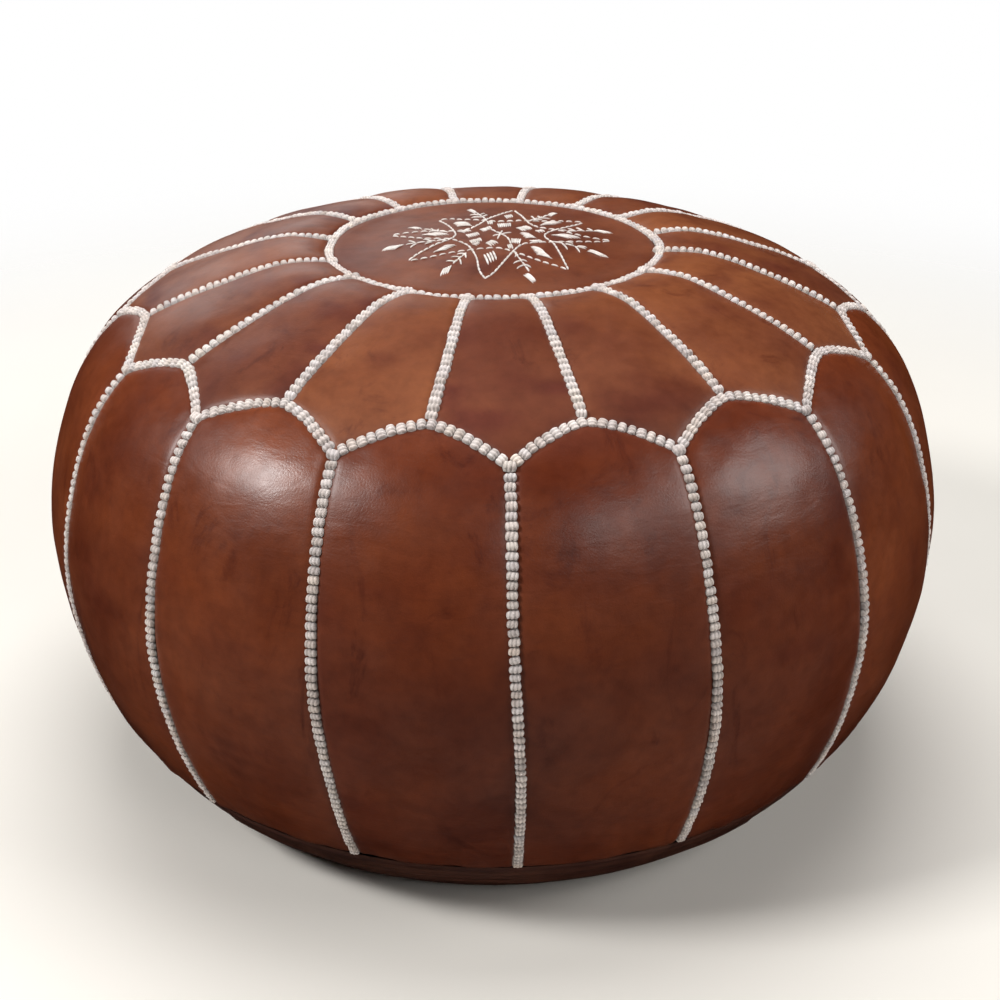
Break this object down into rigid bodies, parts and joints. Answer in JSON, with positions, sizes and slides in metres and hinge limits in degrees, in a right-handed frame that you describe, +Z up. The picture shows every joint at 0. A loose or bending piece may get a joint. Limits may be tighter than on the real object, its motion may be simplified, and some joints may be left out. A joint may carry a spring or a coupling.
{
  "type": "leather pouf",
  "caption": "Round stitched-leather floor pouf: puffed panels around an embroidered medallion, braided seams, and a zip under the base for the stuffing.",
  "frame": {"origin": "middle of the base, on the plane the pouf stands on", "axes": "+Z up, the short way through the pouf; front is -Y, and the zip runs along X"},
  "size_m": [0.5417, 0.5417, 0.3158],
  "materials": {
    "leather_upper": "dyed goat leather, satin",
    "leather_side": "dyed goat leather, satin",
    "leather_medallion": "dyed goat leather, satin",
    "leather_base": "dark leather, matt",
    "stuffing": "cotton stuffing",
    "braid_thread": "off-white waxed cotton",
    "silk_thread": "off-white thread, slight sheen",
    "zip_tape": "woven tape",
    "zip_metal": "aged brass"
  },
  "bodies": {
    "root": {"upper_panel_01": "leather_upper", "upper_panel_02": "leather_upper", "upper_panel_03": "leather_upper", "upper_panel_04": "leather_upper", "upper_panel_05": "leather_upper", "upper_panel_06": "leather_upper", "upper_panel_07": "leather_upper", "upper_panel_08": "leather_upper", "upper_panel_09": "leather_upper", "upper_panel_10": "leather_upper", "upper_panel_11": "leather_upper", "upper_panel_12": "leather_upper", "upper_panel_13": "leather_upper", "upper_panel_14": "leather_upper", "upper_panel_15": "leather_upper", "upper_panel_16": "leather_upper", "side_panel_01": "leather_side", "side_panel_02": "leather_side", "side_panel_03": "leather_side", "side_panel_04": "leather_side", "side_panel_05": "leather_side", "side_panel_06": "leather_side", "side_panel_07": "leather_side", "side_panel_08": "leather_side", "side_panel_09": "leather_side", "side_panel_10": "leather_side", "side_panel_11": "leather_side", "side_panel_12": "leather_side", "side_panel_13": "leather_side", "side_panel_14": "leather_side", "side_panel_15": "leather_side", "side_panel_16": "leather_side", "medallion": "leather_medallion", "base_panel_front": "leather_base", "base_panel_back": "leather_base", "base_welt": "leather_base", "stuffing_core": "stuffing", "medallion_braid": "braid_thread", "upper_seam_braids": "braid_thread", "arch_braids": "braid_thread", "side_seam_braids": "braid_thread", "embroidered_star": "silk_thread", "embroidered_lozenges": "silk_thread", "embroidered_diamonds": "silk_thread", "zip_tape_front": "zip_tape", "zip_tape_back": "zip_tape", "zip_teeth_front": "zip_metal", "zip_teeth_back": "zip_metal", "zip_end_stops": "zip_metal"},
    "zip_slider": {"zip_slider": "zip_metal"},
    "zip_pull": {"zip_pull_tab": "zip_metal"}
  },
  "joints": [
    {"name": "zip_slide", "type": "slide", "parent": "root", "child": "zip_slider", "axis": [-1, 0, 0], "range_m": [0, 0.248], "deforming": ["zip_teeth_front", "zip_teeth_back"]},
    {"name": "pull_tab_swing", "type": "hinge", "parent": "zip_slider", "child": "zip_pull", "pos_m": [0.128, 0, 0.0048], "axis": [0, 1, 0], "range_deg": [0, 175]}
  ]
}
